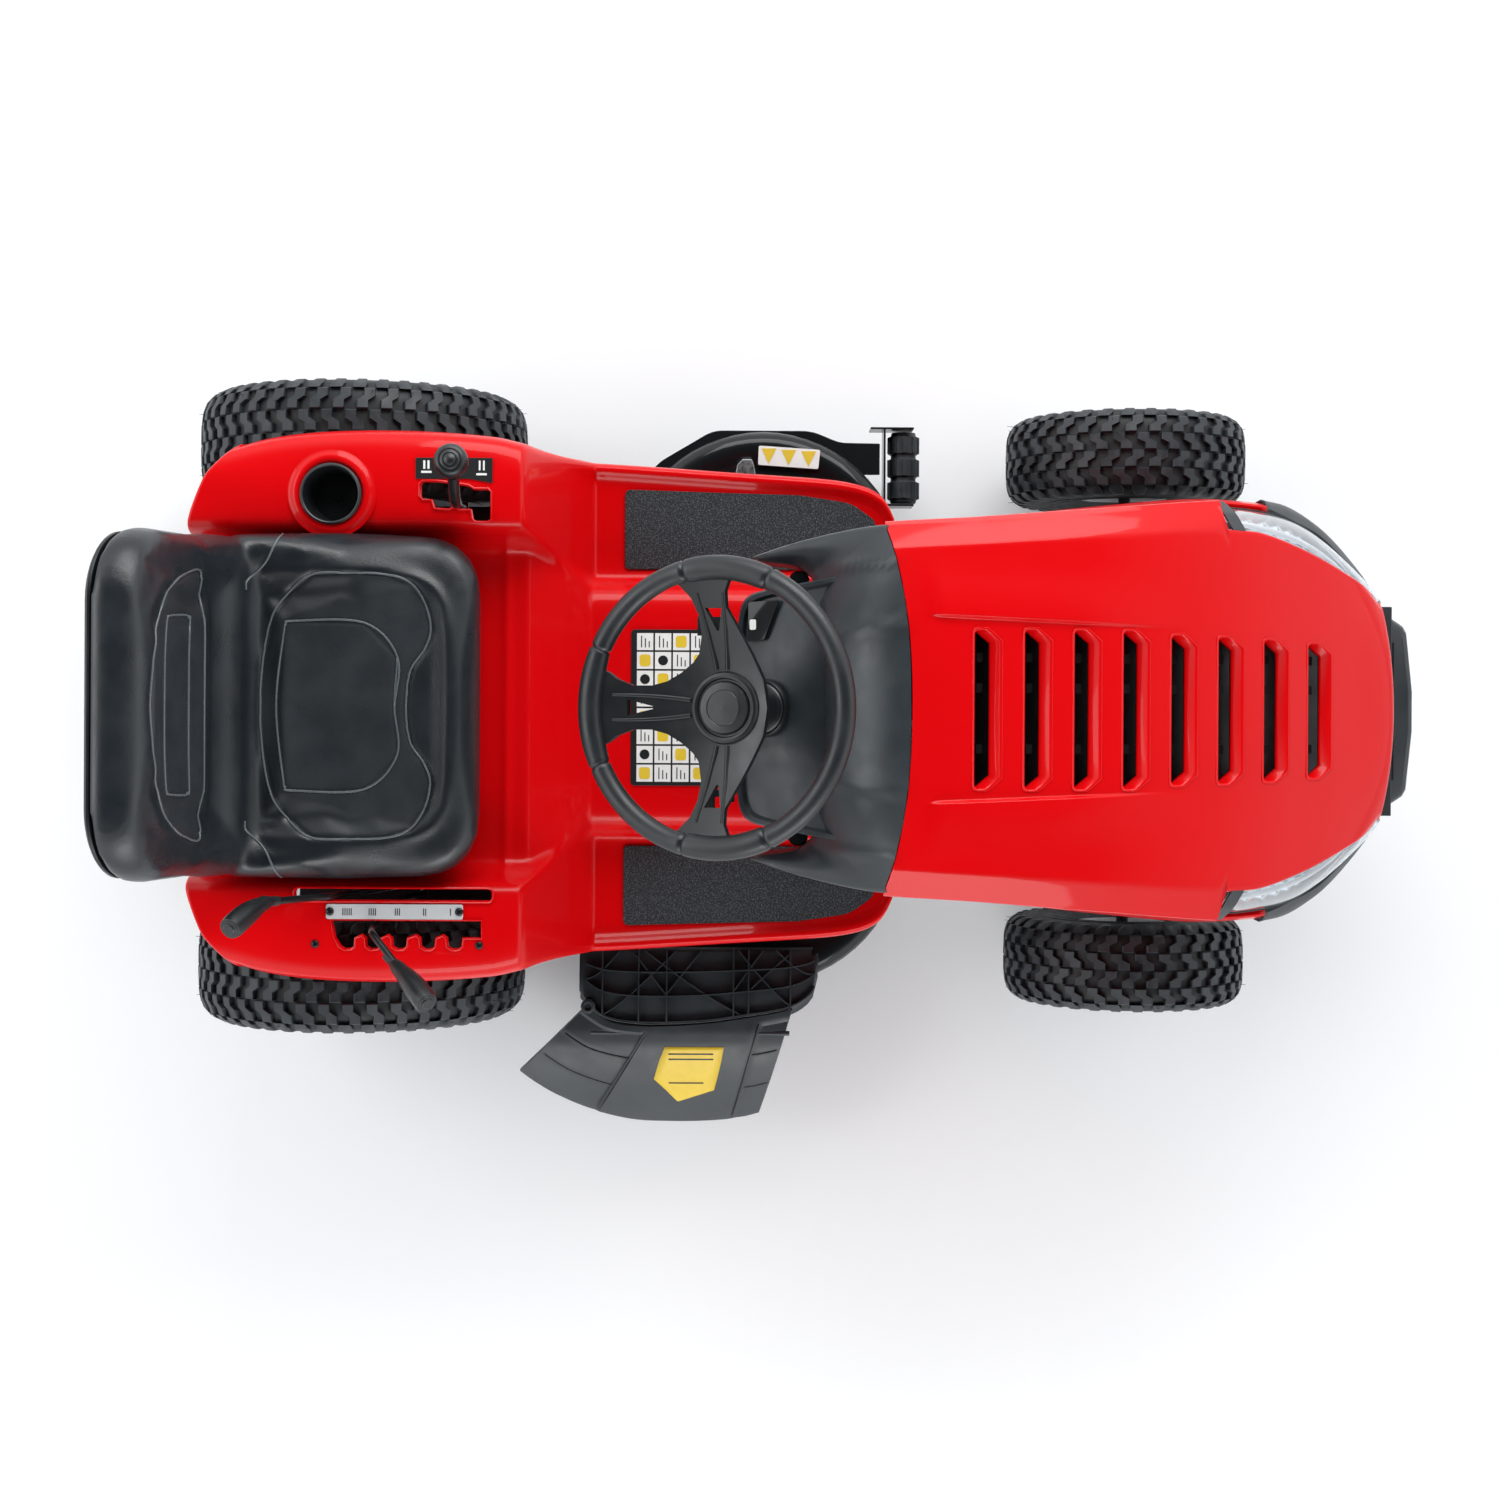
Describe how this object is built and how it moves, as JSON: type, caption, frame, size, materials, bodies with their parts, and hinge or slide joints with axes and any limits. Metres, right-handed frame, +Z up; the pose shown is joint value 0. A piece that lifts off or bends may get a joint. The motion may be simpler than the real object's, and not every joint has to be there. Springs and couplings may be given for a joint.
{
  "type": "riding lawn mower",
  "caption": "Red riding lawn mower with a black seat, a louvred hood, a side-discharge mowing deck and turf tyres.",
  "frame": {"origin": "middle of the bounding box, on the ground under the tyres", "axes": "+Z up, -Y towards the front of the machine, +X towards its left side"},
  "size_m": [1.167, 1.8508, 0.9656],
  "materials": {
    "red_paint": "gloss",
    "black_paint": "satin",
    "tyre_rubber": "matt",
    "mat_rubber": "matt",
    "wheel_paint": "satin",
    "seat_vinyl": "grained vinyl",
    "dash_plastic": "fine grain",
    "chute_plastic": "satin",
    "grip_plastic": "satin",
    "clear_lens": "clear",
    "bare_steel": "zinc plated",
    "cast_alloy": "as cast",
    "tank_plastic": "translucent"
  },
  "bodies": {
    "chassis": {"left_frame_rail": "black_paint", "right_frame_rail": "black_paint", "rear_hitch_plate": "black_paint", "engine_plate": "black_paint", "front_axle_bracket": "black_paint", "steering_support": "black_paint", "front_bumper": "black_paint", "transaxle_case": "cast_alloy", "rear_fender": "red_paint", "left_foot_mat": "mat_rubber", "right_foot_mat": "mat_rubber", "cup_holder": "grip_plastic", "dash_panel": "dash_plastic", "engine_block": "cast_alloy", "engine_shroud": "black_paint", "muffler": "bare_steel", "battery": "grip_plastic", "fuel_tank": "tank_plastic"},
    "axle": {"front_axle_beam": "black_paint"},
    "left_steered": {"left_knuckle": "black_paint"},
    "right_steered": {"right_knuckle": "black_paint"},
    "left_link": {"left_drag_link": "bare_steel"},
    "right_link": {"right_drag_link": "bare_steel"},
    "sector": {"steering_sector": "bare_steel"},
    "helm": {"steering_wheel": "grip_plastic", "steering_shaft": "black_paint"},
    "front_left_wheel": {"front_left_rim": "wheel_paint", "front_left_tyre": "tyre_rubber"},
    "front_right_wheel": {"front_right_rim": "wheel_paint", "front_right_tyre": "tyre_rubber"},
    "rear_left_wheel": {"rear_left_rim": "wheel_paint", "rear_left_tyre": "tyre_rubber"},
    "rear_right_wheel": {"rear_right_rim": "wheel_paint", "rear_right_tyre": "tyre_rubber"},
    "bonnet": {"hood": "red_paint", "grille": "black_paint", "left_headlight": "clear_lens", "right_headlight": "clear_lens"},
    "seat_hinge": {"seat_pan": "black_paint"},
    "seat": {"seat_shell": "grip_plastic", "seat_cushion": "seat_vinyl", "seat_back": "seat_vinyl"},
    "shifter": {"shift_lever": "bare_steel"},
    "lifter": {"lift_lever": "bare_steel"},
    "blade_control": {"pto_lever": "bare_steel"},
    "brake": {"brake_pedal": "black_paint"},
    "speed": {"speed_pedal": "black_paint"},
    "throttle": {"throttle_lever": "black_paint"},
    "key": {"ignition_key": "grip_plastic"},
    "deck": {"deck_shell": "black_paint", "chute_adaptor": "chute_plastic"},
    "deflector": {"discharge_chute": "chute_plastic"},
    "roller": {"gauge_roller": "tyre_rubber"},
    "left_cutter": {"left_blade": "bare_steel", "left_spindle": "bare_steel"},
    "right_cutter": {"right_blade": "bare_steel", "right_spindle": "bare_steel"},
    "crankshaft": {"crankshaft_pulley": "bare_steel", "flywheel_screen": "grip_plastic"},
    "drive_pulley": {"transaxle_pulley": "bare_steel"}
  },
  "joints": [
    {"name": "axle_rock", "type": "hinge", "parent": "chassis", "child": "axle", "pos_m": [0.0985, -0.5374, 0.235], "axis": [0, 1, 0], "range_deg": [-8, 8]},
    {"name": "left_steer", "type": "hinge", "parent": "axle", "child": "left_steered", "pos_m": [0.3985, -0.5374, 0.18837], "axis": [0, 0, 1], "range_deg": [-34, 34]},
    {"name": "right_steer", "type": "hinge", "parent": "axle", "child": "right_steered", "pos_m": [-0.2015, -0.5374, 0.18837], "axis": [0, 0, 1], "range_deg": [-34, 34]},
    {"name": "left_link_turn", "type": "hinge", "parent": "left_steered", "child": "left_link", "pos_m": [0.3985, -0.6074, 0.2685], "axis": [0, 0, 1], "range_deg": [-34, 34]},
    {"name": "right_link_turn", "type": "hinge", "parent": "right_steered", "child": "right_link", "pos_m": [-0.2015, -0.6074, 0.2685], "axis": [0, 0, 1], "range_deg": [-34, 34]},
    {"name": "sector_turn", "type": "hinge", "parent": "chassis", "child": "sector", "pos_m": [0.0985, -0.24735, 0.254], "axis": [0, 0, 1], "range_deg": [-34, 34]},
    {"name": "steering_turn", "type": "hinge", "parent": "chassis", "child": "helm", "pos_m": [0.0985, 0.1066, 0.86], "axis": [0, 0.4163, 0.9092], "range_deg": [-220.3, 220.3]},
    {"name": "front_left_spin", "type": "hinge", "parent": "left_steered", "child": "front_left_wheel", "pos_m": [0.496, -0.5374, 0.18837], "axis": [1, 0, 0], "continuous": true},
    {"name": "front_right_spin", "type": "hinge", "parent": "right_steered", "child": "front_right_wheel", "pos_m": [-0.299, -0.5374, 0.18837], "axis": [1, 0, 0], "continuous": true},
    {"name": "rear_left_spin", "type": "hinge", "parent": "chassis", "child": "rear_left_wheel", "pos_m": [0.5005, 0.6736, 0.25183], "axis": [1, 0, 0], "continuous": true},
    {"name": "rear_right_spin", "type": "hinge", "parent": "chassis", "child": "rear_right_wheel", "pos_m": [-0.3035, 0.6736, 0.25183], "axis": [1, 0, 0], "continuous": true},
    {"name": "hood_tilt", "type": "hinge", "parent": "chassis", "child": "bonnet", "pos_m": [0.0985, -0.8244, 0.44], "axis": [1, 0, 0], "range_deg": [0, 70]},
    {"name": "seat_tilt", "type": "hinge", "parent": "chassis", "child": "seat_hinge", "pos_m": [0.0985, 0.4756, 0.497], "axis": [1, 0, 0], "range_deg": [0, 60]},
    {"name": "seat_slide", "type": "slide", "parent": "seat_hinge", "child": "seat", "axis": [0, 1, 0], "range_m": [-0.045, 0.045]},
    {"name": "shift_swing", "type": "hinge", "parent": "chassis", "child": "shifter", "pos_m": [0.3885, 0.4856, 0.505], "axis": [1, 0, 0], "range_deg": [-27, 27]},
    {"name": "lift_swing", "type": "hinge", "parent": "chassis", "child": "lifter", "pos_m": [-0.1925, 0.5706, 0.295], "axis": [1, 0, 0], "range_deg": [-8.6, 25.6]},
    {"name": "blade_engage", "type": "hinge", "parent": "chassis", "child": "blade_control", "pos_m": [-0.173, 0.5706, 0.335], "axis": [1, 0, 0], "range_deg": [0, 47]},
    {"name": "brake_press", "type": "hinge", "parent": "chassis", "child": "brake", "pos_m": [0.3215, -0.1094, 0.62], "axis": [-1, 0, 0], "range_deg": [0, 15], "stiffness_Nm_per_rad": 8, "springref_deg": -11.46},
    {"name": "speed_press", "type": "hinge", "parent": "chassis", "child": "speed", "pos_m": [-0.1245, -0.1094, 0.62], "axis": [-1, 0, 0], "range_deg": [0, 15], "stiffness_Nm_per_rad": 8, "springref_deg": -11.46},
    {"name": "throttle_swing", "type": "hinge", "parent": "chassis", "child": "throttle", "pos_m": [-0.0185, 0.0941, 0.69], "axis": [1, 0, 0], "range_deg": [-18, 18]},
    {"name": "key_turn", "type": "hinge", "parent": "chassis", "child": "key", "pos_m": [0.2115, 0.0881, 0.665], "axis": [0, 1, 0], "range_deg": [0, 60]},
    {"name": "deck_lift", "type": "slide", "parent": "chassis", "child": "deck", "axis": [0, 0, 1], "range_m": [-0.058, 0.019]},
    {"name": "chute_flip", "type": "hinge", "parent": "deck", "child": "deflector", "pos_m": [-0.42, 0.0806, 0.213], "axis": [0, 1, 0], "range_deg": [0, 75]},
    {"name": "roller_spin", "type": "hinge", "parent": "deck", "child": "roller", "pos_m": [0.493, -0.1854, 0.126], "axis": [1, 0, 0], "continuous": true},
    {"name": "left_blade_spin", "type": "hinge", "parent": "deck", "child": "left_cutter", "pos_m": [0.3175, 0.0446, 0.105], "axis": [0, 0, 1], "continuous": true},
    {"name": "right_blade_spin", "type": "hinge", "parent": "deck", "child": "right_cutter", "pos_m": [-0.1205, 0.0446, 0.105], "axis": [0, 0, 1], "continuous": true},
    {"name": "crank_spin", "type": "hinge", "parent": "chassis", "child": "crankshaft", "pos_m": [0.0985, -0.4394, 0.31], "axis": [0, 0, 1], "continuous": true},
    {"name": "drive_spin", "type": "hinge", "parent": "chassis", "child": "drive_pulley", "pos_m": [0.0985, 0.6506, 0.33], "axis": [0, 0, 1], "continuous": true}
  ],
  "couplings": [
    {"joint": "right_steer", "follows": "left_steer", "ratio": 1},
    {"joint": "left_link_turn", "follows": "left_steer", "ratio": -1},
    {"joint": "right_link_turn", "follows": "left_steer", "ratio": -1},
    {"joint": "sector_turn", "follows": "left_steer", "ratio": 1},
    {"joint": "steering_turn", "follows": "left_steer", "ratio": 6.4643},
    {"joint": "lift_swing", "follows": "deck_lift", "rad_per_m": -7.5},
    {"joint": "right_blade_spin", "follows": "left_blade_spin", "ratio": 1}
  ]
}
